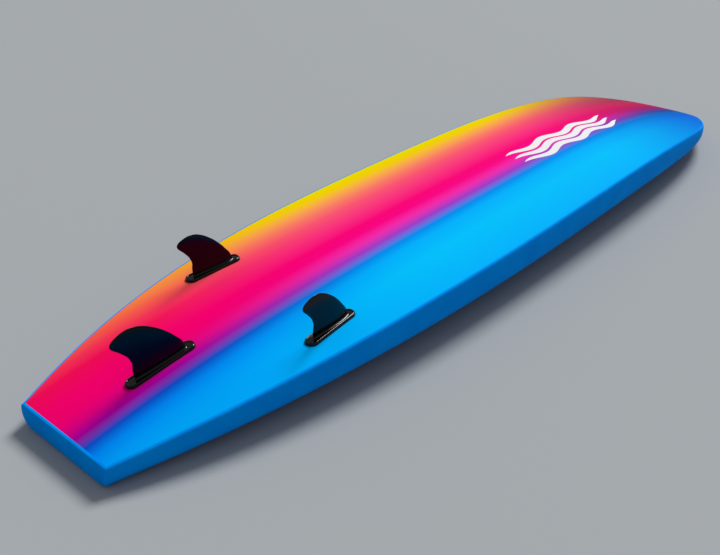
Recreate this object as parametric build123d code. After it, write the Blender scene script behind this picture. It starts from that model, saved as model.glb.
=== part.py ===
"""Soft-top directional board, deck down and bottom up, with a square tail and three bolted fins.

The origin is on the floor below the middle of the board. +X runs to the nose, +Y to the board's
far rail and +Z up, out of the printed bottom. Millimetres throughout.
"""
from build123d import *
import math
import os

# Hull
LENGTH = 2438.0            # 8 ft, tail to nose
HALF_WIDTH = 279.5         # half of 22 in, across the foam rails
THICKNESS = 86.0           # at the middle, slick to deck
TAIL_X = -LENGTH / 2
NOSE_X = LENGTH / 2
TAIL_ROCKER = 62.0
NOSE_ROCKER = 130.0
TAIL_BEND = 3.372          # how late the rocker curve bends, as a power
NOSE_BEND = 3.151
LOW_POINT = 0.48           # the lowest point of the bottom, as a share of the length from the tail
TAIL_THICKNESS = 46.0
NOSE_THICKNESS = 30.0
THICKEST = 0.55            # where the board is thickest, as a share of the length from the tail
TAIL_TAPER = 2.1           # how late it thins towards the tail, as a power
NOSE_TAPER = 2.9
PLAN_RUNS = 20             # straight runs that stand in for each half of the plan outline
SIDE_RUNS = 18             # and for the bottom and deck curves
RUN_OVER = 20.0            # how far the last of those runs passes the nose
NOSE_CROWDING = 1.5        # how much closer together the plan's runs end at the nose, as a power

# Skins
SKIN = 4.0                 # foam on the deck, the rails and the tail
RAIL_WIDTH = 26.0          # solid foam strip along each rail
SLICK = 2.0                # printed plastic sheet
BACKING = 3.0              # foam under the slick
STRINGER = 4.0
STRINGER_Y = 80.0

# Fins: place from the tail, distance from the centreline, size against the centre fin
CENTRE_FIN = (216.0, 0.0, 1.0)
SIDE_FIN = (488.0, 172.0, 0.875)
TOE = 3.9                  # degrees that a side fin points inwards
CANT = 2.0                 # degrees that a side fin leans outwards
FIN_HEIGHT = 114.0
BASE_LENGTH = 156.0
BASE_WIDTH = 28.0
BASE_THICKNESS = 5.5
BASE_EDGE = 2.0
GASKET = 0.8
FOIL = 9.0                 # thickest part of the blade at the root
TRAILING_EDGE = 1.2        # thickness of the blade's trailing edge

# Fin fixings, along the fin's own axis
BOLT_SPACING = 96.0        # on the centre fin
BOSS_RADIUS = 6.0
BOSS_DEPTH = 12.0
INSERT_RADIUS = 4.2
INSERT_LENGTH = 10.0
SCREW_RADIUS = 3.0
HEAD_RADIUS = 5.5
HEAD_HEIGHT = 4.0
CROSS = (6.4, 1.2, 3.6)    # each slot of the cross in a head: length, width, twice its depth
THREAD_HELD = 9.0
WASHER_RADIUS = 8.0
WASHER_THICKNESS = 1.5
SLEEVE_RADIUS = 5.0
CUP_RADIUS = 12.0
CUP_WALL = 2.5
CUP_DEPTH = 8.0
RUNNING_FIT = 0.05         # screw in its insert, all round
CLEARANCE = 0.3            # between bodies that come apart
DECK_SINK = 1.2            # rim of a cup below the deck

# Leash cup
LEASH_X = 80.0
LEASH_RADIUS = 16.0
LEASH_DEPTH = 18.0
LEASH_WALL = 2.5
LEASH_PIN_RADIUS = 2.0
LEASH_PIN_DEPTH = 7.2      # axis of the pin below the deck

BIG = 400.0                # reaches past the board sideways


def rocker(x):
    """How far the bottom at x has dropped from its highest line."""
    u = (x - TAIL_X) / LENGTH
    if u < LOW_POINT:
        return TAIL_ROCKER * ((LOW_POINT - u) / LOW_POINT) ** TAIL_BEND
    return NOSE_ROCKER * ((u - LOW_POINT) / (1 - LOW_POINT)) ** NOSE_BEND


def bottom_height(x):
    """Height of the slick at x, for a board that lies on the deck edges of its tail and nose."""
    tail_height = TAIL_THICKNESS + TAIL_ROCKER
    nose_height = NOSE_THICKNESS + NOSE_ROCKER
    u = (x - TAIL_X) / LENGTH
    return tail_height + u * (nose_height - tail_height) - rocker(x)


def thickness(x):
    """Slick to deck at x: full over the middle, thinning late towards the tail and the nose."""
    u = (x - TAIL_X) / LENGTH
    if u < THICKEST:
        share = (THICKEST - u) / THICKEST
        return THICKNESS - (THICKNESS - TAIL_THICKNESS) * share ** TAIL_TAPER
    share = (u - THICKEST) / (1 - THICKEST)
    return THICKNESS - (THICKNESS - NOSE_THICKNESS) * share ** NOSE_TAPER


def deck_height(x):
    return bottom_height(x) - thickness(x)


def slope(height, x):
    """Slope of a height curve at x, in degrees."""
    step = 1.0
    return math.degrees(math.atan((height(x + step) - height(x - step)) / (2 * step)))


def side_curve():
    """Right-hand half of the plan outline, from just behind the tail to the tip of the nose."""
    from_tail = [(-30, 118), (122, 171.5), (488, 248), (853, 275), (1219, HALF_WIDTH), (1707, 270),
                 (2011, 248), (2194, 209), (2316, 152), (2402, 92), (LENGTH, 0)]
    points = [(TAIL_X + x, -y) for x, y in from_tail]
    return Spline(points, tangents=[(1, -0.38), (0, 1)])


def plan(inset):
    """Plan outline moved in by an inset, in short straight runs that crowd towards the nose."""
    side = side_curve()
    half = []
    for i in range(PLAN_RUNS):
        share = 1 - (1 - i / PLAN_RUNS) ** NOSE_CROWDING
        point = side @ share
        along = side % share
        half.append((point.X - along.Y * inset, point.Y + along.X * inset))
    tip = (NOSE_X - inset, 0)
    far_half = [(x, -y) for x, y in reversed(half)]
    outline = make_face(Polyline(half + [tip] + far_half, close=True))
    return outline & ahead_of(TAIL_X + min(inset, SKIN))


def ahead_of(x):
    """The part of the plan that lies ahead of x."""
    return Pos(x + LENGTH, 0) * Rectangle(2 * LENGTH, 2 * BIG)


def slab(low, high):
    """Everything between two height curves, in short straight runs from the tail face to the nose."""
    reach = LENGTH + RUN_OVER
    stations = [TAIL_X + reach * i / SIDE_RUNS for i in range(SIDE_RUNS + 1)]
    upper = [(x, 0, high(x)) for x in stations]
    lower = [(x, 0, low(x)) for x in reversed(stations)]
    side = make_face(Polyline(upper + lower, close=True))
    return Pos(0, -BIG, 0) * extrude(side, amount=2 * BIG, dir=(0, 1, 0))


def prism(inset):
    return Pos(0, 0, -BIG / 2) * extrude(plan(inset), amount=BIG)


def lowered(height, by):
    return lambda x: height(x) - by


def part_of(shape):
    """The one solid of a shape, without the sliver that a cut may leave beside it."""
    return shape.solids().sort_by(lambda s: s.volume)[-1]


def side_box(low_y, high_y):
    """All of the space between two distances from the centreline."""
    middle = (low_y + high_y) / 2
    return Pos(0, middle, 0) * Box(2 * LENGTH, high_y - low_y, 2 * BIG)


class Fin:
    """Where one fin stands, and the sizes that follow from its scale."""

    def __init__(self, name, place, side):
        from_tail, out, self.scale = place
        self.name = name
        self.side = side
        x = TAIL_X + from_tail
        self.at = Location((x, side * out, bottom_height(x))) \
            * Rotation(0, -slope(bottom_height, x), 0) \
            * Rotation(0, 0, -side * TOE)
        self.bolts = (-BOLT_SPACING / 2 * self.scale, BOLT_SPACING / 2 * self.scale)
        tilt = math.cos(math.radians(slope(bottom_height, x)))
        self.deck = [-thickness(x + bolt) * tilt for bolt in self.bolts]


def stadium(length, width, height, z):
    return Pos(0, 0, z) * extrude(SlotOverall(length, width), amount=height)


def tube(radius, bore, low, high):
    """A tube along Z between two heights; a bore of 0 makes it a rod."""
    body = Pos(0, 0, low) * extrude(Circle(radius), amount=high - low)
    if bore:
        body -= Pos(0, 0, low - 1) * extrude(Circle(bore), amount=high - low + 2)
    return body


def blade_section(leading, trailing, thick, z):
    """One foil section: a round leading edge, thickest a third of the way back, a thin tail."""
    chord = leading - trailing
    tail = TRAILING_EDGE / 2
    one_side = [(leading, 0), (leading - 0.12 * chord, thick * 0.37),
                (leading - 0.35 * chord, thick / 2), (leading - 0.7 * chord, thick * 0.36),
                (trailing, tail)]
    front = Spline(one_side, tangents=[(0, 1), (-1, -0.08)])
    rear = mirror(front, about=Plane.XZ)
    end = Line((trailing, tail), (trailing, -tail))
    return Pos(0, 0, z) * make_face([front, rear, end])


def blade():
    """The centre fin's blade: leading edge, trailing edge and thickness at each height."""
    sections = [(57, -57, 1.0, 3), (53, -57, 0.95, 26), (34, -57, 0.85, 54),
                (5, -75, 0.65, 86), (-25, -85, 0.45, 106), (-41, -76, 0.28, FIN_HEIGHT)]
    return loft([blade_section(lead, trail, FOIL * share, z) for lead, trail, share, z in sections])


def make_fin(fin):
    """Blade, base and the two bosses that reach into the board, moulded as one piece."""
    base = stadium(BASE_LENGTH * fin.scale, BASE_WIDTH, BASE_THICKNESS, GASKET)
    base = fillet(base.faces().sort_by(Axis.Z)[-1].edges(), BASE_EDGE)
    lean = Rotation(-fin.side * CANT, 0, 0)
    body = base + lean * scale(blade(), fin.scale)
    for bolt in fin.bolts:
        body += Pos(bolt, 0, 0) * tube(BOSS_RADIUS, 0, -BOSS_DEPTH, GASKET + 1)
    for bolt in fin.bolts:
        body -= Pos(bolt, 0, 0) * tube(INSERT_RADIUS, 0, -BOSS_DEPTH, INSERT_LENGTH - BOSS_DEPTH)
    return fin.at * part_of(body)


def make_inserts(fin):
    bore = SCREW_RADIUS + RUNNING_FIT
    insert = tube(INSERT_RADIUS, bore, -BOSS_DEPTH, INSERT_LENGTH - BOSS_DEPTH)
    return [fin.at * Pos(bolt, 0, 0) * insert for bolt in fin.bolts]


def make_gasket(fin):
    pad = stadium(BASE_LENGTH * fin.scale + 2, BASE_WIDTH + 2, GASKET, 0)
    for bolt in fin.bolts:
        pad -= Pos(bolt, 0, 0) * tube(BOSS_RADIUS + CLEARANCE, 0, -1, GASKET + 1)
    return fin.at * part_of(pad)


def cup_floor(deck):
    """Height of the inside of a cup's floor, on the bolt's axis, above its place on the deck."""
    return deck + DECK_SINK + CUP_DEPTH - CUP_WALL


def make_sleeves(fin):
    bore = SCREW_RADIUS + CLEARANCE
    sleeves = []
    for bolt, deck in zip(fin.bolts, fin.deck):
        sleeve = tube(SLEEVE_RADIUS, bore, cup_floor(deck) + CUP_WALL, -BOSS_DEPTH - CLEARANCE)
        sleeves.append(fin.at * Pos(bolt, 0, 0) * sleeve)
    return sleeves


def make_cups(fin):
    cups = []
    for bolt, deck in zip(fin.bolts, fin.deck):
        floor = cup_floor(deck)
        cup = tube(CUP_RADIUS, SCREW_RADIUS + CLEARANCE, deck + DECK_SINK, floor + CUP_WALL)
        cup -= tube(CUP_RADIUS - CUP_WALL, 0, deck, floor)
        cups.append(fin.at * Pos(bolt, 0, 0) * cup)
    return cups


def make_washer(fin, i):
    floor = cup_floor(fin.deck[i])
    washer = tube(WASHER_RADIUS, SCREW_RADIUS + RUNNING_FIT, floor - WASHER_THICKNESS, floor)
    return fin.at * Pos(fin.bolts[i], 0, 0) * washer


def make_screw(fin, i):
    """A cross-head machine screw, its head towards the deck."""
    seat = cup_floor(fin.deck[i]) - WASHER_THICKNESS
    head = tube(HEAD_RADIUS, 0, seat - HEAD_HEIGHT, seat)
    head = fillet(head.faces().sort_by(Axis.Z)[0].edges(), HEAD_HEIGHT / 3)
    screw = head + tube(SCREW_RADIUS, 0, seat, THREAD_HELD - BOSS_DEPTH)
    slot = Pos(0, 0, seat - HEAD_HEIGHT) * Box(*CROSS)
    screw -= slot
    screw -= Rotation(0, 0, 90) * slot
    return fin.at * Pos(fin.bolts[i], 0, 0) * part_of(screw)


def fixing_holes(fins):
    """Room in the board for the bosses, sleeves and cups of every fin."""
    holes = []
    for fin in fins:
        for bolt, deck in zip(fin.bolts, fin.deck):
            at = fin.at * Pos(bolt, 0, 0)
            holes.append(at * tube(BOSS_RADIUS + CLEARANCE, 0, -BOSS_DEPTH - CLEARANCE, 10))
            holes.append(at * tube(SLEEVE_RADIUS, 0, deck - 10, 0))
            holes.append(at * tube(CUP_RADIUS, 0, deck - 10, cup_floor(deck) + CUP_WALL))
    return holes


def leash_place():
    x = TAIL_X + LEASH_X
    return Location((x, 0, deck_height(x))) * Rotation(0, -slope(deck_height, x), 0)


def make_leash_cup():
    cup = tube(LEASH_RADIUS, 0, DECK_SINK / 2, LEASH_DEPTH)
    cup -= tube(LEASH_RADIUS - LEASH_WALL, 0, -1, LEASH_DEPTH - LEASH_WALL)
    cup -= leash_pin_form()
    return leash_place() * part_of(cup)


def leash_pin_form():
    length = 2 * LEASH_RADIUS - LEASH_WALL
    return Pos(0, 0, LEASH_PIN_DEPTH) * Rotation(90, 0, 0) * Cylinder(LEASH_PIN_RADIUS, length)


def make_leash_pin():
    return leash_place() * leash_pin_form()


def leash_hole():
    return leash_place() * tube(LEASH_RADIUS, 0, -10, LEASH_DEPTH)


def cut(shape, holes):
    """A piece of the board without the fixing holes that reach it."""
    for hole in holes:
        if shape.bounding_box().overlaps(hole.bounding_box()):
            shape = shape - hole
    return part_of(shape)


def layer(inset, low, high):
    """Everything between two height curves, as far out as an inset from the board's edge."""
    return prism(inset) & slab(low, high)


def make_skins():
    """The slick, its backing, and the foam of the deck, the rails and the tail."""
    under_slick = lowered(bottom_height, SLICK)
    under_backing = lowered(bottom_height, SLICK + BACKING)
    above_deck = lowered(deck_height, -SKIN)
    whole = layer(0, deck_height, bottom_height)
    body = whole & extrude(ahead_of(TAIL_X + SKIN), amount=BIG, both=True)
    sheet = layer(SKIN, under_backing, lowered(bottom_height, -SKIN))
    rails = body - prism(RAIL_WIDTH) - sheet
    return {"bottom_slick": layer(SKIN, under_slick, bottom_height),
            "bottom_backing": layer(SKIN, under_backing, under_slick),
            "deck_skin": layer(RAIL_WIDTH, deck_height, above_deck),
            "tail_skin": whole - body,
            "rail_left": rails & side_box(0, BIG),
            "rail_right": rails & side_box(-BIG, 0)}


def make_core():
    """Foam blocks between the rails, with the two stringers glued between them."""
    core = layer(RAIL_WIDTH, lowered(deck_height, -SKIN), lowered(bottom_height, SLICK + BACKING))
    inner = STRINGER_Y - STRINGER / 2
    outer = STRINGER_Y + STRINGER / 2
    return {"core_left": core & side_box(outer, BIG),
            "stringer_left": core & side_box(inner, outer),
            "core_centre": core & side_box(-inner, inner),
            "stringer_right": core & side_box(-outer, -inner),
            "core_right": core & side_box(-BIG, -outer)}


def build():
    """Every piece of the board by its node name, each a list of solids."""
    fins = [Fin("centre", CENTRE_FIN, 0), Fin("left", SIDE_FIN, 1), Fin("right", SIDE_FIN, -1)]
    board = {**make_skins(), **make_core()}
    holes = fixing_holes(fins) + [leash_hole()]
    nodes = {name: [cut(shape, holes)] for name, shape in board.items()}
    for fin in fins:
        nodes["fin_" + fin.name] = [make_fin(fin)]
        nodes["gasket_" + fin.name] = [make_gasket(fin)]
        nodes["inserts_" + fin.name] = make_inserts(fin)
        nodes["sleeves_" + fin.name] = make_sleeves(fin)
        nodes["deck_cups_" + fin.name] = make_cups(fin)
        for i, end in enumerate(("rear", "front")):
            nodes[f"washer_{fin.name}_{end}"] = [make_washer(fin, i)]
            nodes[f"screw_{fin.name}_{end}"] = [make_screw(fin, i)]
    nodes["leash_cup"] = [make_leash_cup()]
    nodes["leash_pin"] = [make_leash_pin()]
    return nodes


def main():
    os.makedirs("parts", exist_ok=True)
    for name, solids in build().items():
        shape = solids[0] if len(solids) == 1 else Compound(children=list(solids))
        export_step(shape, f"parts/{name}.step")


main()
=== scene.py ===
"""Looks of a soft-top directional board that lies deck down, with its printed bottom and fins up."""
import math

import bpy
import numpy as np
from mathutils import Matrix, Vector


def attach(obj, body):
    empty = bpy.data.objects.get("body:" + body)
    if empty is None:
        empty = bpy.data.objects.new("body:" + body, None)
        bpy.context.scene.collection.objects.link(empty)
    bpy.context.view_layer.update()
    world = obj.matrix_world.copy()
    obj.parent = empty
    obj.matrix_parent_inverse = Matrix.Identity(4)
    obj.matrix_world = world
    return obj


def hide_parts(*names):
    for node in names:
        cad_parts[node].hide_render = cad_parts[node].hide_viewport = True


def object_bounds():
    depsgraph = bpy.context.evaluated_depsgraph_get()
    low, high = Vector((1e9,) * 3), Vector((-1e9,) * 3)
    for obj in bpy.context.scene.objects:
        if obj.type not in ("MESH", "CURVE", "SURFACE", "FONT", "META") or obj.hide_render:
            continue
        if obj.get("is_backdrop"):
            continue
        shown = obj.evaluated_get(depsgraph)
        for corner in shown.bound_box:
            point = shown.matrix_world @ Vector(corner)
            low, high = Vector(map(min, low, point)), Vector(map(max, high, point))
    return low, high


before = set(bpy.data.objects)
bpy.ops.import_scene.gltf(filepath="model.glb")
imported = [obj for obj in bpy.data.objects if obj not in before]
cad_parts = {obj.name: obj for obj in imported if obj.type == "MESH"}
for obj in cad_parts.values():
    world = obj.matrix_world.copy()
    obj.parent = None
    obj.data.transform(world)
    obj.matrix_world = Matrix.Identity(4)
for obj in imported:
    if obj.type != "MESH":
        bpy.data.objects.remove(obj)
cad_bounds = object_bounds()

bl_info = {
    "name": "Soft-top board",
    "version": (1, 0, 0),
    "blender": (4, 5, 0),
    "location": "View3D > Sidebar > Board",
    "description": "Builds the skins, fins and fittings of a foam board and lights it on a pale floor",
    "category": "Object",
}

MM = 0.001

# Places along the board are counted from the tail, in millimetres.
LENGTH = 2438.0
TAIL_X = -LENGTH / 2
OUTLINE = [(-30, 118), (122, 171.5), (488, 248), (853, 275), (1219, 279.5), (1707, 270), (2011, 248),
           (2194, 209), (2316, 152), (2402, 92), (2438, 0)]
THICKNESS = 86.0
TAIL_THICKNESS = 46.0
NOSE_THICKNESS = 30.0
TAIL_ROCKER = 62.0
NOSE_ROCKER = 130.0
TAIL_BEND = 3.372
NOSE_BEND = 3.151
LOW_POINT = 0.48           # lowest point of the bottom, as a share of the length from the tail
THICKEST = 0.55            # where the board is thickest, as a share of the length from the tail
TAIL_TAPER = 2.1           # how late it thins towards the tail, as a power
NOSE_TAPER = 2.9
SKIN = 4.0
SLICK = 2.0
BACKING = 3.0
RAIL_WIDTH = 26.0
DECK_ROUND = 24.0          # how far in from the widest line the rail is rounded at the deck
RIM = 7.5                  # foam that shows beside the slick
SHOULDER = 3.6             # how far the rail's top edge stands in from its widest line
SHOULDER_DROP = 1.6        # and how far below the slick
WIDEST = 0.35              # the widest line of the rail, as a share of the thickness from the bottom
TAIL_CORNER = 5.0          # how far the tail strip's rim pulls in towards its face
LAP = 0.2                  # rail foam stops this short of the core
GAP = 0.15                 # hairline between the slick and the rail foam

# Camera and light, in metres in the row frame
CAMERA_AT = (-1.7602, -1.1378, 1.0148)
CAMERA_FORWARD = (0.6581, 0.5710, -0.4908)
CAMERA_UP = (0.3600, 0.3338, 0.8712)
CAMERA_LENS = 43.65        # mm, on a sensor 36 mm wide
KEY_LIGHT_AT = (2.6, 0.5, 3.0)
FLOOR_REACH = 14.0

# Each fin: distance from the tail, distance from the centreline, scale
FINS = {"centre": (216.0, 0.0, 1.0), "left": (488.0, 172.0, 0.875), "right": (488.0, -172.0, 0.875)}
TOE = math.radians(3.9)
CANT = math.radians(2.0)
BASE_LENGTH = 156.0
BASE_WIDTH = 28.0
BASE_THICKNESS = 5.5
GASKET = 0.8
BOLT_SPACING = 96.0
BOSS_RADIUS = 6.0
BOSS_DEPTH = 12.0
INSERT_RADIUS = 4.2
INSERT_LENGTH = 10.0
FOIL = 9.0
FIN_HEIGHT = 113.5         # from the board to the tip of the blade
FIN_POINTS = 112           # points round a section of a fin
BEAD = 3.0                 # radius of the bead round a fin's base
DISH = 1.8                 # depth of the base inside its bead
ROOT_FILLET = 5.0
# Blade edges, from the root to the tip, along the base and up from the board
LEADING = [(58, 5), (55, 22), (45, 38), (34, 54), (24, 66), (13, 78), (2, 88), (-9, 97), (-20, 104),
           (-32, 110), (-44, 113), (-56, 113.5), (-66, 112)]
TRAILING = [(-57, 5), (-58, 21), (-56.5, 32), (-55, 40), (-56.5, 48), (-59, 56), (-67, 69), (-78, 83),
            (-86, 93), (-87.5, 99), (-84, 105), (-77, 109), (-70, 111)]


# ---------------------------------------------------------------- form of the board

def smooth_curve(points, ends=None):
    """A function of 0 to 1 along a curve with even curvature through the points."""
    points = np.array(points, float)
    runs = np.linalg.norm(np.diff(points, axis=0), axis=1)
    at = np.concatenate([[0], np.cumsum(runs)])
    count = len(points)
    system = np.zeros((count, count))
    right = np.zeros_like(points)
    for i in range(1, count - 1):
        before, after = runs[i - 1], runs[i]
        system[i, i - 1:i + 2] = after, 2 * (before + after), before
        right[i] = 3 * (after * (points[i] - points[i - 1]) / before
                        + before * (points[i + 1] - points[i]) / after)
    if ends is None:
        system[0, :2] = 2, 1
        system[-1, -2:] = 1, 2
        right[0] = 3 * (points[1] - points[0]) / runs[0]
        right[-1] = 3 * (points[-1] - points[-2]) / runs[-1]
    else:
        system[0, 0] = system[-1, -1] = 1
        right[0], right[-1] = [np.array(end) / np.linalg.norm(end) for end in ends]
    slopes = np.linalg.solve(system, right)

    def curve(share):
        distance = min(max(share, 0.0), 1.0) * at[-1]
        i = min(int(np.searchsorted(at, distance, side="right")) - 1, count - 2)
        run = runs[i]
        t = (distance - at[i]) / run
        return ((1 + 2 * t) * (1 - t) ** 2 * points[i] + t * (1 - t) ** 2 * run * slopes[i]
                + t * t * (3 - 2 * t) * points[i + 1] + t * t * (t - 1) * run * slopes[i + 1])
    return curve


def rocker(x):
    u = (x - TAIL_X) / LENGTH
    if u < LOW_POINT:
        return TAIL_ROCKER * ((LOW_POINT - u) / LOW_POINT) ** TAIL_BEND
    return NOSE_ROCKER * ((u - LOW_POINT) / (1 - LOW_POINT)) ** NOSE_BEND


def bottom_height(x):
    tail = TAIL_THICKNESS + TAIL_ROCKER
    nose = NOSE_THICKNESS + NOSE_ROCKER
    return tail + (x - TAIL_X) / LENGTH * (nose - tail) - rocker(x)


def thickness(x):
    u = (x - TAIL_X) / LENGTH
    if u < THICKEST:
        return THICKNESS - (THICKNESS - TAIL_THICKNESS) * ((THICKEST - u) / THICKEST) ** TAIL_TAPER
    return THICKNESS - (THICKNESS - NOSE_THICKNESS) * ((u - THICKEST) / (1 - THICKEST)) ** NOSE_TAPER


def deck_height(x):
    return bottom_height(x) - thickness(x)


HALVINGS = 40              # steps of the search along the outline
outline_curve = smooth_curve(OUTLINE, ends=((1, 0.38), (0, -1)))


def outline_at(share, inset):
    """A point of one half of the plan outline, moved in by an inset, with y positive."""
    step = 1e-4
    here = outline_curve(share)
    along = outline_curve(min(share + step, 1)) - outline_curve(max(share - step, 0))
    along /= np.linalg.norm(along)
    return TAIL_X + here[0] + along[1] * inset, here[1] - along[0] * inset


def share_at(x, inset):
    """Where on the outline, moved in by an inset, the board reaches x."""
    low, high = 0.0, 1.0
    for _ in range(HALVINGS):
        middle = (low + high) / 2
        if outline_at(middle, inset)[0] < x:
            low = middle
        else:
            high = middle
    return high


def half_width(x, inset):
    """Half of the width at x of the outline moved in by an inset."""
    return outline_at(share_at(x, inset), inset)[1]


def quarter_turn(steps, first=0):
    """Sine and cosine at even steps through a right angle."""
    turns = [math.pi / 2 * i / steps for i in range(first, steps + 1)]
    return [(math.sin(turn), math.cos(turn)) for turn in turns]


# ---------------------------------------------------------------- meshes

def add_piece(name, points, faces, material, body, node):
    """A mesh piece, given in millimetres in the row frame, that rides on a body and stands for a node."""
    mesh = bpy.data.meshes.new(name)
    mesh.from_pydata([tuple(c * MM for c in point) for point in points], [], faces)
    mesh.validate()
    mesh.materials.append(material)
    for face in mesh.polygons:
        face.use_smooth = True
    piece = bpy.data.objects.new(name, mesh)
    bpy.context.scene.collection.objects.link(piece)
    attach(piece, body)
    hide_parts(node)
    return piece


def flip_if_inside_out(points, faces):
    """The faces, turned so that their normals point out of the closed form."""
    points = np.array(points, float)
    volume = 0.0
    for face in faces:
        for i in range(1, len(face) - 1):
            a, b, c = points[face[0]], points[face[i]], points[face[i + 1]]
            volume += np.dot(a, np.cross(b, c))
    if volume < 0:
        return [tuple(reversed(face)) for face in faces]
    return faces


def rings_to_faces(count, ring):
    """Quads between neighbouring rings, each a closed loop of points."""
    faces = []
    for i in range(count - 1):
        for j in range(ring):
            k = (j + 1) % ring
            faces.append((i * ring + j, i * ring + k, (i + 1) * ring + k, (i + 1) * ring + j))
    return faces


def sharpen(piece, degrees):
    """Faces that meet at less than this angle are shaded as one surface."""
    piece.data.set_sharp_from_angle(angle=math.radians(degrees))


def rail_section():
    """Round the rail foam: inset, height and what the height is counted from.

    A height is in millimetres from the bottom, a share of the thickness down from the shoulder,
    or a share of the thickness up from the deck.
    """
    section = [(RIM, -SLICK - BACKING, "bottom"), (RIM, -0.1, "bottom")]
    for sine, cosine in quarter_turn(4, 1)[:-1]:
        inset = SHOULDER + (RIM - SHOULDER) * (1 - sine)
        section.append((inset, -SHOULDER_DROP * (1 - cosine), "bottom"))
    for sine, cosine in quarter_turn(12, 1):
        section.append((SHOULDER * (1 - sine), WIDEST * (1 - cosine), "shoulder"))
    for sine, cosine in quarter_turn(12, 1):
        section.append((DECK_ROUND * (1 - cosine), (1 - WIDEST) * (1 - sine), "deck"))
    return section + [(RAIL_WIDTH - LAP, 0.0, "deck"), (RAIL_WIDTH - LAP, 0.05, "deck")]


def section_point(share, part, side):
    """A point of the rail's section on one side of the board, at a share of the outline."""
    inset, rise, level = part
    x, y = outline_at(share, inset)
    if level == "bottom":
        z = bottom_height(x) + rise
    elif level == "deck":
        z = deck_height(x) + rise * thickness(x)
    else:
        z = bottom_height(x) - SHOULDER_DROP - rise * thickness(x)
    return x, side * y, z


def make_rail(name, side, material):
    """One rail from the tail strip to the tip of the nose, its stations crowding towards the nose."""
    section = rail_section()
    steps, crowding = 220, 1.35
    start = share_at(TAIL_X + SKIN, 0.0)
    points = []
    for i in range(steps + 1):
        along = start + (1 - start) * (1 - (1 - i / steps) ** crowding)
        for part in section:
            x, y, z = section_point(along, part, side)
            if i == 0:
                x = TAIL_X + SKIN
            points.append((x, y, z))
    ring = len(section)
    faces = rings_to_faces(steps + 1, ring)
    faces.append(tuple(range(ring)))
    faces.append(tuple(range(steps * ring, (steps + 1) * ring))[::-1])
    faces = flip_if_inside_out(points, faces)
    sharpen(add_piece(name, points, faces, material, "board", name), 40)


def make_sheet(name, inset, top, bottom, edge, material):
    """A sheet that follows the board's plan: a grid on its top, its underside and an edge between."""
    along, across, crowding = 260, 48, 1.6
    start, end = TAIL_X + inset, TAIL_X + LENGTH - inset
    narrowest = 0.4
    points, index = [], {}
    for level in (0, 1):
        for i in range(along + 1):
            share = i / along
            x = start + (end - start) * (1 - (1 - share) ** crowding)
            wide = half_width(x, inset) if i < along else 0.0
            wide = max(wide, narrowest)
            for j in range(across + 1):
                y = wide * math.sin((-1 + 2 * j / across) * math.pi / 2)
                at_edge = j in (0, across) or i in (0, along)
                drop = edge if at_edge else 0.0
                z = top(x) - drop if level == 0 else bottom(x)
                index[level, i, j] = len(points)
                points.append((x, y, z))
    faces = []
    for level in (0, 1):
        for i in range(along):
            for j in range(across):
                face = (index[level, i, j], index[level, i + 1, j], index[level, i + 1, j + 1],
                        index[level, i, j + 1])
                faces.append(face if level == 0 else face[::-1])
    border = [(i, 0) for i in range(along)] + [(along, j) for j in range(across)]
    border += [(i, across) for i in range(along, 0, -1)] + [(0, j) for j in range(across, 0, -1)]
    for here, following in zip(border, border[1:] + border[:1]):
        faces.append((index[(0,) + here], index[(1,) + here], index[(1,) + following],
                      index[(0,) + following]))
    faces = flip_if_inside_out(points, faces)
    sharpen(add_piece(name, points, faces, material, "board", name), 35)


def make_tail(material):
    """The foam strip on the square tail, its rim rounded like the rails'."""
    section = rail_section()[2:-1]
    share = share_at(TAIL_X + SKIN, 0.0)
    profile = [section_point(share, part, 1)[1:] for part in section]
    loop = profile + [(-y, z) for y, z in reversed(profile)]
    centre = np.mean(loop, axis=0)
    steps = 6
    rounded = [(TAIL_CORNER * (1 - sine), 0.97 * SKIN * (1 - cosine)) for sine, cosine in quarter_turn(steps)]
    points = []
    for shrink, back in rounded + [(0.0, RIM)]:
        rise = bottom_height(TAIL_X + back) - bottom_height(TAIL_X)
        for y, z in loop:
            away = np.array([y, z]) - centre
            size = np.abs(away)
            inner = away * np.array([1 - shrink / max(size[0], 30), 1 - shrink / max(size[1], 16)])
            points.append((TAIL_X + back, centre[0] + inner[0], centre[1] + inner[1] + rise))
    ring = len(loop)
    faces = rings_to_faces(steps + 2, ring)
    faces.append(tuple(range(ring)))
    faces.append(tuple(range((steps + 1) * ring, (steps + 2) * ring))[::-1])
    faces = flip_if_inside_out(points, faces)
    sharpen(add_piece("tail_skin", points, faces, material, "board", "tail_skin"), 35)


# ---------------------------------------------------------------- fins

def fin_matrix(name):
    """From a fin's own axes, on the bottom surface, to the row frame, in millimetres."""
    from_tail, out, _ = FINS[name]
    x = TAIL_X + from_tail
    slope = math.atan((bottom_height(x + 1) - bottom_height(x - 1)) / 2)
    side = (out > 0) - (out < 0)
    place = Matrix.Translation((x, out, bottom_height(x)))
    return place @ Matrix.Rotation(-slope, 4, "Y") @ Matrix.Rotation(-side * TOE, 4, "Z")


def foil_shape(along):
    """Half thickness of the foil, as a share of the whole, at a share of the chord."""
    root = math.sqrt(max(along, 0))
    return 5 * (0.2969 * root - 0.126 * along - 0.3516 * along ** 2
                + 0.2843 * along ** 3 - 0.1015 * along ** 4)


def foil_ring(leading, trailing, thick):
    """A closed foil section between two points of the blade's outline, its edges rounded."""
    edge = 0.35
    ring = []
    for i in range(FIN_POINTS):
        turn = 2 * math.pi * i / FIN_POINTS
        along = (1 - math.cos(turn)) / 2
        half = thick * foil_shape(along) + edge * math.sin(turn / 2)
        x = leading[0] + (trailing[0] - leading[0]) * along
        z = leading[1] + (trailing[1] - leading[1]) * along
        ring.append((x, half * (1 if math.sin(turn) >= 0 else -1), z))
    return ring


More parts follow.
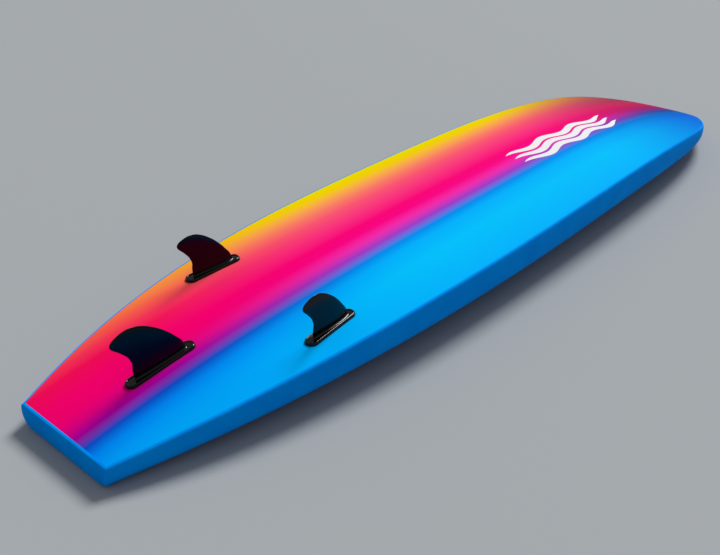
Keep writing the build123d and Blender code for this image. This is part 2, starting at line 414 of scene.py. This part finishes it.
def stadium_ring(length, width, z):
    """A round-ended oval, its points opposite those of a foil section."""
    ring = []
    radius = width / 2
    straight = length / 2 - radius
    for i in range(FIN_POINTS):
        turn = 2 * math.pi * i / FIN_POINTS
        x = length / 2 * math.cos(turn)
        beyond = max(abs(x) - straight, 0)
        y = math.sqrt(max(radius ** 2 - beyond ** 2, 0))
        ring.append((x, y if math.sin(turn) >= 0 else -y, z))
    return ring


def swollen(ring, by, z):
    """A level ring moved outwards by a distance."""
    count = len(ring)
    moved = []
    for i in range(count):
        before, after = ring[i - 1], ring[(i + 1) % count]
        along = Vector((after[0] - before[0], after[1] - before[1]))
        along.normalize()
        moved.append((ring[i][0] + along.y * by, ring[i][1] - along.x * by, z))
    if sum(abs(p[1]) for p in moved) < sum(abs(p[1]) for p in ring) and by > 0:
        return swollen(ring, -by, z)
    return moved


def between(ring, other, share):
    """A ring part of the way from one to another."""
    return [tuple(a + (b - a) * share for a, b in zip(p, q)) for p, q in zip(ring, other)]


def blade_thickness(share):
    """Thickness of the blade at a share of its height: thinner upwards and rounded over at the tip."""
    return FOIL * (1 - 0.72 * share ** 1.4) * (1 - share ** 14) + 0.4


def fin_rings(scale, side):
    """Rings from under the base, over its bead, up the root fillet and the blade to the tip.

    A smaller fin keeps the width and thickness of the base, so these are divided by the scale here.
    """
    low = GASKET / scale
    top = low + BASE_THICKNESS / scale
    wide = BASE_WIDTH / scale
    bead = BEAD / scale
    dish = DISH / scale
    chamfer = 0.6
    rings = [stadium_ring(BASE_LENGTH - 2 * chamfer, wide - 2 * chamfer, low),
             stadium_ring(BASE_LENGTH, wide, low + chamfer)]
    for sine, cosine in quarter_turn(6):
        shrink = 2 * bead * (1 - cosine)
        rings.append(stadium_ring(BASE_LENGTH - shrink, wide - shrink, top - bead * (1 - sine)))
    crest = 2 * bead + 0.6
    # over the crest and down inside the bead: how much narrower, and the share of the dish's depth
    for narrower, fall in ((0.0, 0.0), (1.6, 0.12), (3.0, 0.45), (4.0, 1.0)):
        shrink = crest + narrower
        rings.append(stadium_ring(BASE_LENGTH - shrink, wide - shrink, top - fall * dish))
    floor = top - dish
    lead, trail = smooth_curve(LEADING), smooth_curve(TRAILING)
    root = foil_ring((lead(0)[0], 0), (trail(0)[0], 0), FOIL)
    rings.append(between(rings[-1], swollen(root, ROOT_FILLET, floor), 0.5))
    for sine, cosine in quarter_turn(7):
        rings.append(swollen(root, ROOT_FILLET * (1 - sine), floor + ROOT_FILLET * (1 - cosine)))
    start = 0.8 * (floor + ROOT_FILLET) / FIN_HEIGHT
    steps = 40
    for i in range(1, steps + 1):
        share = start + (1 - start) * i / steps
        rings.append(foil_ring(lead(share), trail(share), blade_thickness(share)))
    lean = math.tan(CANT) * side
    placed = []
    for ring in rings:
        placed.append([(x * scale, (y + max(z - top, 0) * lean) * scale, z * scale) for x, y, z in ring])
    return placed


def boss(at):
    """The moulded post that reaches into the board, open at its foot for the insert."""
    count = 40
    chamfer = 0.6
    foot = -BOSS_DEPTH
    profile = [(INSERT_RADIUS, foot + INSERT_LENGTH), (INSERT_RADIUS, foot), (BOSS_RADIUS - chamfer, foot),
               (BOSS_RADIUS, foot + chamfer), (BOSS_RADIUS, GASKET + 1.0)]
    turns = [2 * math.pi * i / count for i in range(count)]
    return [[(at + radius * math.cos(turn), radius * math.sin(turn), z) for turn in turns]
            for radius, z in profile]


def make_fin(name, blade_finish, base_finish):
    """A fin with its base and bosses; the base takes the second finish."""
    _, out, scale = FINS[name]
    side = (out > 0) - (out < 0)
    matrix = fin_matrix(name)
    points, faces = [], []

    def add_rings(rings):
        start = len(points)
        ring = len(rings[0])
        for one in rings:
            points.extend(tuple(matrix @ Vector(point)) for point in one)
        new = rings_to_faces(len(rings), ring)
        new.append(tuple(range(ring))[::-1])
        new.append(tuple(range((len(rings) - 1) * ring, len(rings) * ring)))
        own = [tuple(start + k for k in face) for face in new]
        faces.extend(flip_if_inside_out(points, own))

    rings = fin_rings(scale, side)
    add_rings(rings)
    top = GASKET + BASE_THICKNESS + 0.2
    in_base = [max(point[2] for point in ring) < top for ring in rings[1:]]
    base_faces = FIN_POINTS * sum(in_base)
    for end in (-1, 1):
        add_rings(boss(end * BOLT_SPACING / 2 * scale))
    node = "fin_" + name
    piece = add_piece(node, points, faces, blade_finish, node, node)
    piece.data.materials.append(base_finish)
    for i in range(base_faces):
        piece.data.polygons[i].material_index = 1
    sharpen(piece, 42)


# ---------------------------------------------------------------- materials

def linear(code):
    """sRGB hex, such as 00A2FF, as linear red, green and blue with alpha."""
    parts = [int(code[i:i + 2], 16) / 255 for i in (0, 2, 4)]
    return tuple(c / 12.92 if c <= 0.04045 else ((c + 0.055) / 1.055) ** 2.4 for c in parts) + (1.0,)


def add_node(tree, kind, inputs=None, links=None, **settings):
    """A node with its settings, the values of its sockets and the links into it."""
    node = tree.nodes.new(kind)
    for name, value in settings.items():
        setattr(node, name, value)
    for name, value in (inputs or {}).items():
        node.inputs[name].default_value = value
    for name, source in (links or {}).items():
        tree.links.new(source, node.inputs[name])
    return node


def new_material(name, **surface):
    """A material whose shader has these constant values, with its tree and its shader."""
    material = bpy.data.materials.new(name)
    material.use_nodes = True
    tree = material.node_tree
    shader = tree.nodes["Principled BSDF"]
    for socket, value in surface.items():
        shader.inputs[socket.replace("_", " ")].default_value = value
    return material, tree, shader


def math_node(tree, operation, a, b=0.0):
    """The outcome of a sum over two numbers or links."""
    node = add_node(tree, "ShaderNodeMath", operation=operation)
    for socket, value in zip(node.inputs, (a, b)):
        if isinstance(value, (int, float)):
            socket.default_value = value
        else:
            tree.links.new(value, socket)
    return node.outputs[0]


def ramp(tree, factor, stops):
    """A colour ramp over the given stops, each a place from 0 to 1 and a hex colour."""
    node = add_node(tree, "ShaderNodeValToRGB", links={"Fac": factor})
    elements = node.color_ramp.elements
    while len(elements) < len(stops):
        elements.new(0.5)
    for element, (place, code) in zip(elements, sorted(stops)):
        element.position = place
        element.color = linear(code)
    return node.outputs["Color"]


def blended(tree, factor, first, second):
    """One colour turning into another; the second may be a constant."""
    node = add_node(tree, "ShaderNodeMix", data_type="RGBA", links={"Factor": factor})
    first_socket, second_socket = [socket for socket in node.inputs if socket.type == "RGBA"]
    tree.links.new(first, first_socket)
    if isinstance(second, tuple):
        second_socket.default_value = second
    else:
        tree.links.new(second, second_socket)
    return next(socket for socket in node.outputs if socket.type == "RGBA")


def grain(tree, shader, grit_mm, depth_mm, strength=1.0, detail=3.0):
    """Fine bumps of a real size on a surface."""
    place = add_node(tree, "ShaderNodeTexCoord")
    noise = add_node(tree, "ShaderNodeTexNoise", {"Scale": 1 / (grit_mm * MM), "Detail": detail},
                     {"Vector": place.outputs["Object"]})
    bump = add_node(tree, "ShaderNodeBump", {"Strength": strength, "Distance": depth_mm * MM},
                    {"Height": noise.outputs["Fac"]})
    tree.links.new(bump.outputs["Normal"], shader.inputs["Normal"])
    return noise.outputs["Fac"]


PRINT_EDGE = 280.0         # the print's ramps run this far each side of the centreline, mm


def across(v):
    """A distance from the centreline, in mm, as a place on the print's ramps."""
    return (v + PRINT_EDGE) / (2 * PRINT_EDGE)


# The same stripes at the middle, the tail and the nose: distance from the centreline in mm, from the
# right-hand rail to the left-hand one, and colour. The middle's paler, whiter colours are partly a painted
# reflection of the soft light, and the nose's darker colours are painted shade over the print.
MIDDLE_PRINT_WITH_PAINTED_REFLECTION = [(-280, "00B4FF"), (-150, "00C4FF"), (-90, "00B4FF"), (-60, "008CF0"), (-30, "9A40CB"),
                (0, "F52CAE"), (30, "FF0086"), (60, "FF0078"), (90, "FF2880"), (120, "FF407C"),
                (150, "FF5872"), (180, "FF7C68"), (210, "FFA850"), (240, "F8D000"), (272, "ECE000")]
TAIL_PRINT = [(-280, "00AEFF"), (-150, "00A8FF"), (-120, "00A0FF"), (-90, "008CF8"), (-60, "0C4CC8"),
              (-30, "A6009E"), (0, "E80080"), (30, "FA0070"), (60, "FF0070"), (120, "FC0C58"),
              (150, "FF3458"), (180, "FF5E4A"), (210, "FF8444"), (250, "FFA01C")]
NOSE_PRINT_WITH_PAINTED_SHADE = [(-280, "0068D8"), (-120, "0068D8"), (-90, "0060D0"), (-60, "0166B9"), (-30, "174596"),
              (0, "792478"), (30, "A21E5E"), (60, "B32156"), (90, "BC2952"), (120, "A03453"),
              (160, "9B4256"), (220, "A8603C")]


def wave_mark(tree, x, y):
    """Three stacked waves between two places along the board: 1 on the waves, 0 off them."""
    middle, half_length, half_height = 0.462, 0.268, 0.046
    period, pitch, ink, swing = 0.172, 0.0305, 0.0112, 0.009
    turn = math_node(tree, "MULTIPLY", x, math.tau / period)
    sway = math_node(tree, "MULTIPLY", math_node(tree, "SINE", turn), swing)
    level = math_node(tree, "SUBTRACT", y, sway)
    lane = math_node(tree, "PINGPONG", math_node(tree, "ADD", level, 10 * pitch), pitch / 2)
    away = math_node(tree, "ABSOLUTE", math_node(tree, "SUBTRACT", x, middle))
    fade = math_node(tree, "POWER", math_node(tree, "DIVIDE", away, half_length), 6.0)
    width = math_node(tree, "MULTIPLY", math_node(tree, "SUBTRACT", 1.0, fade), ink)
    on_wave = math_node(tree, "LESS_THAN", lane, width)
    in_height = math_node(tree, "LESS_THAN", math_node(tree, "ABSOLUTE", level), half_height)
    in_length = math_node(tree, "LESS_THAN", away, half_length)
    return math_node(tree, "MULTIPLY", on_wave, math_node(tree, "MULTIPLY", in_height, in_length))


def printed_polyethylene(roughness):
    """Printed polyethylene sheet, calendered: saturated ink under a satin skin that ripples faintly; its
    colours are paler in the middle with a painted reflection and darker at the nose with painted shade.
    """
    material, tree, shader = new_material("printed_polyethylene_sheet", Roughness=roughness, IOR=1.5,
                                          Specular_IOR_Level=0.004)
    place = add_node(tree, "ShaderNodeTexCoord")
    split = add_node(tree, "ShaderNodeSeparateXYZ", links={"Vector": place.outputs["Object"]})
    x, y = split.outputs["X"], split.outputs["Y"]
    factor = add_node(tree, "ShaderNodeMapRange", {"From Min": -PRINT_EDGE * MM, "From Max": PRINT_EDGE * MM},
                      {"Value": y}).outputs["Result"]
    # painted reflection: the middle's stripes are paler and whiter than the ink; the tail's are the plain ink
    middle = ramp(tree, factor, [(across(v), code) for v, code in MIDDLE_PRINT_WITH_PAINTED_REFLECTION])
    tail = ramp(tree, factor, [(across(v), code) for v, code in TAIL_PRINT])
    share = add_node(tree, "ShaderNodeMapRange", {"From Min": -1.05, "From Max": -0.35},
                     {"Value": x}, interpolation_type="SMOOTHSTEP").outputs["Result"]
    rear = blended(tree, share, tail, middle)
    # painted shade: the nose's stripes are darker than the ink, blended in towards the nose
    nose = ramp(tree, factor, [(across(v), code) for v, code in NOSE_PRINT_WITH_PAINTED_SHADE])
    share = add_node(tree, "ShaderNodeMapRange", {"From Min": 0.35, "From Max": 1.12},
                     {"Value": x}, interpolation_type="SMOOTHSTEP").outputs["Result"]
    # the print and the wave mark, over the painted reflection in the middle and the painted shade at the nose
    print_and_painted_light = blended(tree, wave_mark(tree, x, y), blended(tree, share, rear, nose), linear("F4F2F4"))
    tree.links.new(print_and_painted_light, shader.inputs["Base Color"])
    # calender ripple: about 25 mm long and a few hundredths deep, with a far finer haze on it
    ripple = add_node(tree, "ShaderNodeTexNoise", {"Scale": 1 / 0.025, "Detail": 1.0},
                      {"Vector": place.outputs["Object"]})
    haze = add_node(tree, "ShaderNodeTexNoise", {"Scale": 1 / 0.0012, "Detail": 2.0},
                    {"Vector": place.outputs["Object"]})
    slow = add_node(tree, "ShaderNodeBump", {"Strength": 0.35, "Distance": 0.00012},
                    {"Height": ripple.outputs["Fac"]})
    fine = add_node(tree, "ShaderNodeBump", {"Strength": 0.25, "Distance": 0.00002},
                    {"Height": haze.outputs["Fac"], "Normal": slow.outputs["Normal"]})
    tree.links.new(fine.outputs["Normal"], shader.inputs["Normal"])
    return material


def closed_cell_foam(name, light, dark, grit_mm=1.1):
    """Closed-cell polyethylene foam, skived: a matt skin with pinhead cells and slightly uneven dye."""
    material, tree, shader = new_material(name, Roughness=0.6, IOR=1.45, Specular_IOR_Level=0.008)
    cells = grain(tree, shader, grit_mm, 0.22, 0.55, 4.0)
    place = add_node(tree, "ShaderNodeTexCoord")
    cloud = add_node(tree, "ShaderNodeTexNoise", {"Scale": 1 / 0.06, "Detail": 3.0},
                     {"Vector": place.outputs["Object"]})
    mixed = math_node(tree, "ADD", math_node(tree, "MULTIPLY", cells, 0.6),
                      math_node(tree, "MULTIPLY", cloud.outputs["Fac"], 0.4))
    tree.links.new(ramp(tree, mixed, [(0.32, dark), (0.62, light)]), shader.inputs["Base Color"])
    return material


def moulded_nylon(name, roughness, level, coat):
    """Glass-filled nylon, moulded: near black, from a satin blade to the wet-looking gloss of its base."""
    material, tree, shader = new_material(name, Roughness=roughness, IOR=1.53, Specular_IOR_Level=level,
                                          Coat_Weight=coat, Coat_Roughness=0.03, Coat_IOR=1.5)
    flow = grain(tree, shader, 9.0, 0.05, 0.25, 2.0)
    tree.links.new(ramp(tree, flow, [(0.3, "020203"), (0.7, "050507")]), shader.inputs["Base Color"])
    return material


def plain_material(name, light, dark, grit_mm, depth_mm, **surface):
    """A finish whose colour varies a little with its own grain."""
    material, tree, shader = new_material(name, **surface)
    fac = grain(tree, shader, grit_mm, depth_mm, 0.5)
    tree.links.new(ramp(tree, fac, [(0.35, dark), (0.65, light)]), shader.inputs["Base Color"])
    return material


def sawn_wood():
    """Sawn basswood: long pale grain with darker lines along the board."""
    material, tree, shader = new_material("sawn_basswood", Roughness=0.6, IOR=1.5)
    place = add_node(tree, "ShaderNodeTexCoord")
    stretched = add_node(tree, "ShaderNodeMapping", {"Scale": (4.0, 260.0, 260.0)},
                         {"Vector": place.outputs["Object"]})
    noise = add_node(tree, "ShaderNodeTexNoise", {"Scale": 1.0, "Detail": 5.0},
                     {"Vector": stretched.outputs["Vector"]})
    tree.links.new(ramp(tree, noise.outputs["Fac"], [(0.35, "A98250"), (0.6, "D9BC8A")]),
                   shader.inputs["Base Color"])
    bump = add_node(tree, "ShaderNodeBump", {"Strength": 0.4, "Distance": 0.0001},
                    {"Height": noise.outputs["Fac"]})
    tree.links.new(bump.outputs["Normal"], shader.inputs["Normal"])
    return material


def bead_foam():
    """Expanded bead foam: white beads about 4 mm across, with grey joints."""
    material, tree, shader = new_material("expanded_bead_foam", Roughness=0.75, IOR=1.4)
    place = add_node(tree, "ShaderNodeTexCoord")
    beads = add_node(tree, "ShaderNodeTexVoronoi", {"Scale": 1 / 0.004}, {"Vector": place.outputs["Object"]})
    tree.links.new(ramp(tree, beads.outputs["Distance"], [(0.2, "F4F4F2"), (0.75, "CFCFCC")]),
                   shader.inputs["Base Color"])
    bump = add_node(tree, "ShaderNodeBump", {"Strength": 0.6, "Distance": 0.0004},
                    {"Height": beads.outputs["Distance"]})
    tree.links.new(bump.outputs["Normal"], shader.inputs["Normal"])
    return material


# ---------------------------------------------------------------- add-on

class BoardLook(bpy.types.PropertyGroup):
    slick_roughness: bpy.props.FloatProperty(
        name="Slick roughness", default=0.5, min=0, max=1, subtype="FACTOR",
        description="How satin the printed bottom is")
    floor_colour: bpy.props.StringProperty(
        name="Floor", default="A6AAAD", description="Floor colour, sRGB hex")
    rail_light: bpy.props.StringProperty(
        name="Rail foam", default="009CFF", description="Foam colour, sRGB hex")
    rail_dark: bpy.props.StringProperty(
        name="Rail foam cells", default="0088F4", description="Colour in the foam's cells, sRGB hex")
    key_power: bpy.props.FloatProperty(
        name="Key light", default=2.8, min=0, description="Strength of the soft light overhead")
    key_softness: bpy.props.FloatProperty(
        name="Key softness", default=22.0, min=0, max=180,
        description="Width of the overhead light, in degrees")
    sky_strength: bpy.props.FloatProperty(
        name="Sky", default=0.33, min=0, description="Strength of the soft sky")


def look():
    """The settings in the panel."""
    return bpy.context.scene.board_look


class BOARD_OT_slick(bpy.types.Operator):
    """Add the printed bottom sheet and the foam sheet that backs it"""
    bl_idname = "board.slick"
    bl_label = "Bottom slick"

    def execute(self, context):
        printed = printed_polyethylene(look().slick_roughness)
        make_sheet("bottom_slick", RIM + GAP, bottom_height, lambda x: bottom_height(x) - SLICK + 0.05, 0.5,
                   printed)
        foam = closed_cell_foam("backing_foam_white", "E8E8E6", "D2D2D0")
        make_sheet("bottom_backing", RIM + 0.5, lambda x: bottom_height(x) - SLICK,
                   lambda x: bottom_height(x) - SLICK - BACKING, 0.0, foam)
        return {"FINISHED"}


class BOARD_OT_foam(bpy.types.Operator):
    """Add the foam rails and the tail strip, and give the deck its foam finish"""
    bl_idname = "board.foam"
    bl_label = "Foam skins"

    def execute(self, context):
        rail = closed_cell_foam("rail_foam_blue", look().rail_light, look().rail_dark)
        make_rail("rail_left", 1, rail)
        make_rail("rail_right", -1, rail)
        make_tail(rail)
        deck = closed_cell_foam("deck_foam_blue", look().rail_light, look().rail_dark, 1.6)
        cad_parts["deck_skin"].data.materials[0] = deck
        return {"FINISHED"}


class BOARD_OT_fins(bpy.types.Operator):
    """Add the three moulded fins"""
    bl_idname = "board.fins"
    bl_label = "Fins"

    def execute(self, context):
        blade = moulded_nylon("moulded_nylon_blade", 0.22, 0.12, 0.08)
        base = moulded_nylon("polished_nylon_base", 0.08, 0.15, 0.35)
        for name in FINS:
            make_fin(name, blade, base)
        return {"FINISHED"}


class BOARD_OT_fittings(bpy.types.Operator):
    """Finish the gaskets, inserts, screws, cups and the pieces inside the board"""
    bl_idname = "board.fittings"
    bl_label = "Fittings and core"

    def execute(self, context):
        rubber = plain_material("cast_rubber", "141414", "0A0A0A", 1.2, 0.05, Roughness=0.7, IOR=1.52)
        plastic = plain_material("moulded_acetal", "1B1B1D", "111113", 0.9, 0.04, Roughness=0.4, IOR=1.48)
        brass = plain_material("turned_brass", "D8B25E", "B98F3C", 0.5, 0.02, Roughness=0.28, Metallic=1.0)
        steel = plain_material("turned_stainless_steel", "C9CBCE", "A9ABAF", 0.5, 0.02, Roughness=0.3,
                               Metallic=1.0)
        finishes = {"gasket": rubber, "inserts": brass, "sleeves": plastic, "deck_cups": plastic,
                    "washer": steel, "screw": steel, "leash_cup": plastic, "leash_pin": steel,
                    "core": bead_foam(), "stringer": sawn_wood()}
        for name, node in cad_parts.items():
            for start, finish in finishes.items():
                if name.startswith(start):
                    for i in range(len(node.data.materials)):
                        node.data.materials[i] = finish
        return {"FINISHED"}


class BOARD_OT_stage(bpy.types.Operator):
    """Add the pale floor, the soft lights and the camera"""
    bl_idname = "board.stage"
    bl_label = "Stage"

    def execute(self, context):
        scene = context.scene
        reach = FLOOR_REACH
        corners = [(-reach, -reach, 0), (reach, -reach, 0), (reach, reach, 0), (-reach, reach, 0)]
        mesh = bpy.data.meshes.new("floor")
        mesh.from_pydata(corners, [], [(0, 1, 2, 3)])
        floor = bpy.data.objects.new("floor", mesh)
        scene.collection.objects.link(floor)
        painted = look().floor_colour
        mesh.materials.append(plain_material("painted_floor", painted, painted, 4.0, 0.05, Roughness=0.85,
                                             IOR=1.45, Specular_IOR_Level=0.2))
        floor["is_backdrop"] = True
        light = bpy.data.lights.new("soft_overhead", "SUN")
        light.energy = look().key_power
        light.angle = math.radians(look().key_softness)
        lamp = bpy.data.objects.new("soft_overhead", light)
        lamp.location = KEY_LIGHT_AT
        lamp.rotation_euler = (-lamp.location).to_track_quat("-Z", "Y").to_euler()
        scene.collection.objects.link(lamp)
        world = bpy.data.worlds.new("soft_sky")
        world.use_nodes = True
        sky = world.node_tree.nodes["Background"]
        sky.inputs["Color"].default_value = linear("F2F5F8")
        sky.inputs["Strength"].default_value = look().sky_strength
        scene.world = world
        scene.view_settings.view_transform = "Standard"
        camera = bpy.data.cameras.new("camera")
        camera.lens = CAMERA_LENS
        camera.sensor_width = 36.0
        camera.sensor_fit = "HORIZONTAL"
        eye = bpy.data.objects.new("camera", camera)
        forward = Vector(CAMERA_FORWARD).normalized()
        right = forward.cross(Vector(CAMERA_UP)).normalized()
        up = right.cross(forward)
        turn = Matrix((right, up, -forward)).transposed().to_4x4()
        eye.matrix_world = Matrix.Translation(CAMERA_AT) @ turn
        scene.collection.objects.link(eye)
        scene.camera = eye
        return {"FINISHED"}


class BOARD_PT_panel(bpy.types.Panel):
    bl_label = "Board"
    bl_space_type = "VIEW_3D"
    bl_region_type = "UI"
    bl_category = "Board"

    def draw(self, context):
        for name in BoardLook.__annotations__:
            self.layout.prop(context.scene.board_look, name)
        for step in STEPS:
            self.layout.operator(step.bl_idname)


STEPS = (BOARD_OT_slick, BOARD_OT_foam, BOARD_OT_fins, BOARD_OT_fittings, BOARD_OT_stage)
CLASSES = (BoardLook,) + STEPS + (BOARD_PT_panel,)


def register():
    for one in CLASSES:
        bpy.utils.register_class(one)
    bpy.types.Scene.board_look = bpy.props.PointerProperty(type=BoardLook)


def unregister():
    del bpy.types.Scene.board_look
    for one in reversed(CLASSES):
        bpy.utils.unregister_class(one)


def main():
    register()
    for step in STEPS:
        group, name = step.bl_idname.split(".")
        getattr(getattr(bpy.ops, group), name)()
    boxes = {"cad": cad_bounds, "visual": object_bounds()}
    {name: [[float(c) for c in corner] for corner in box] for name, box in boxes.items()}


if __name__ == "__main__":
    main()
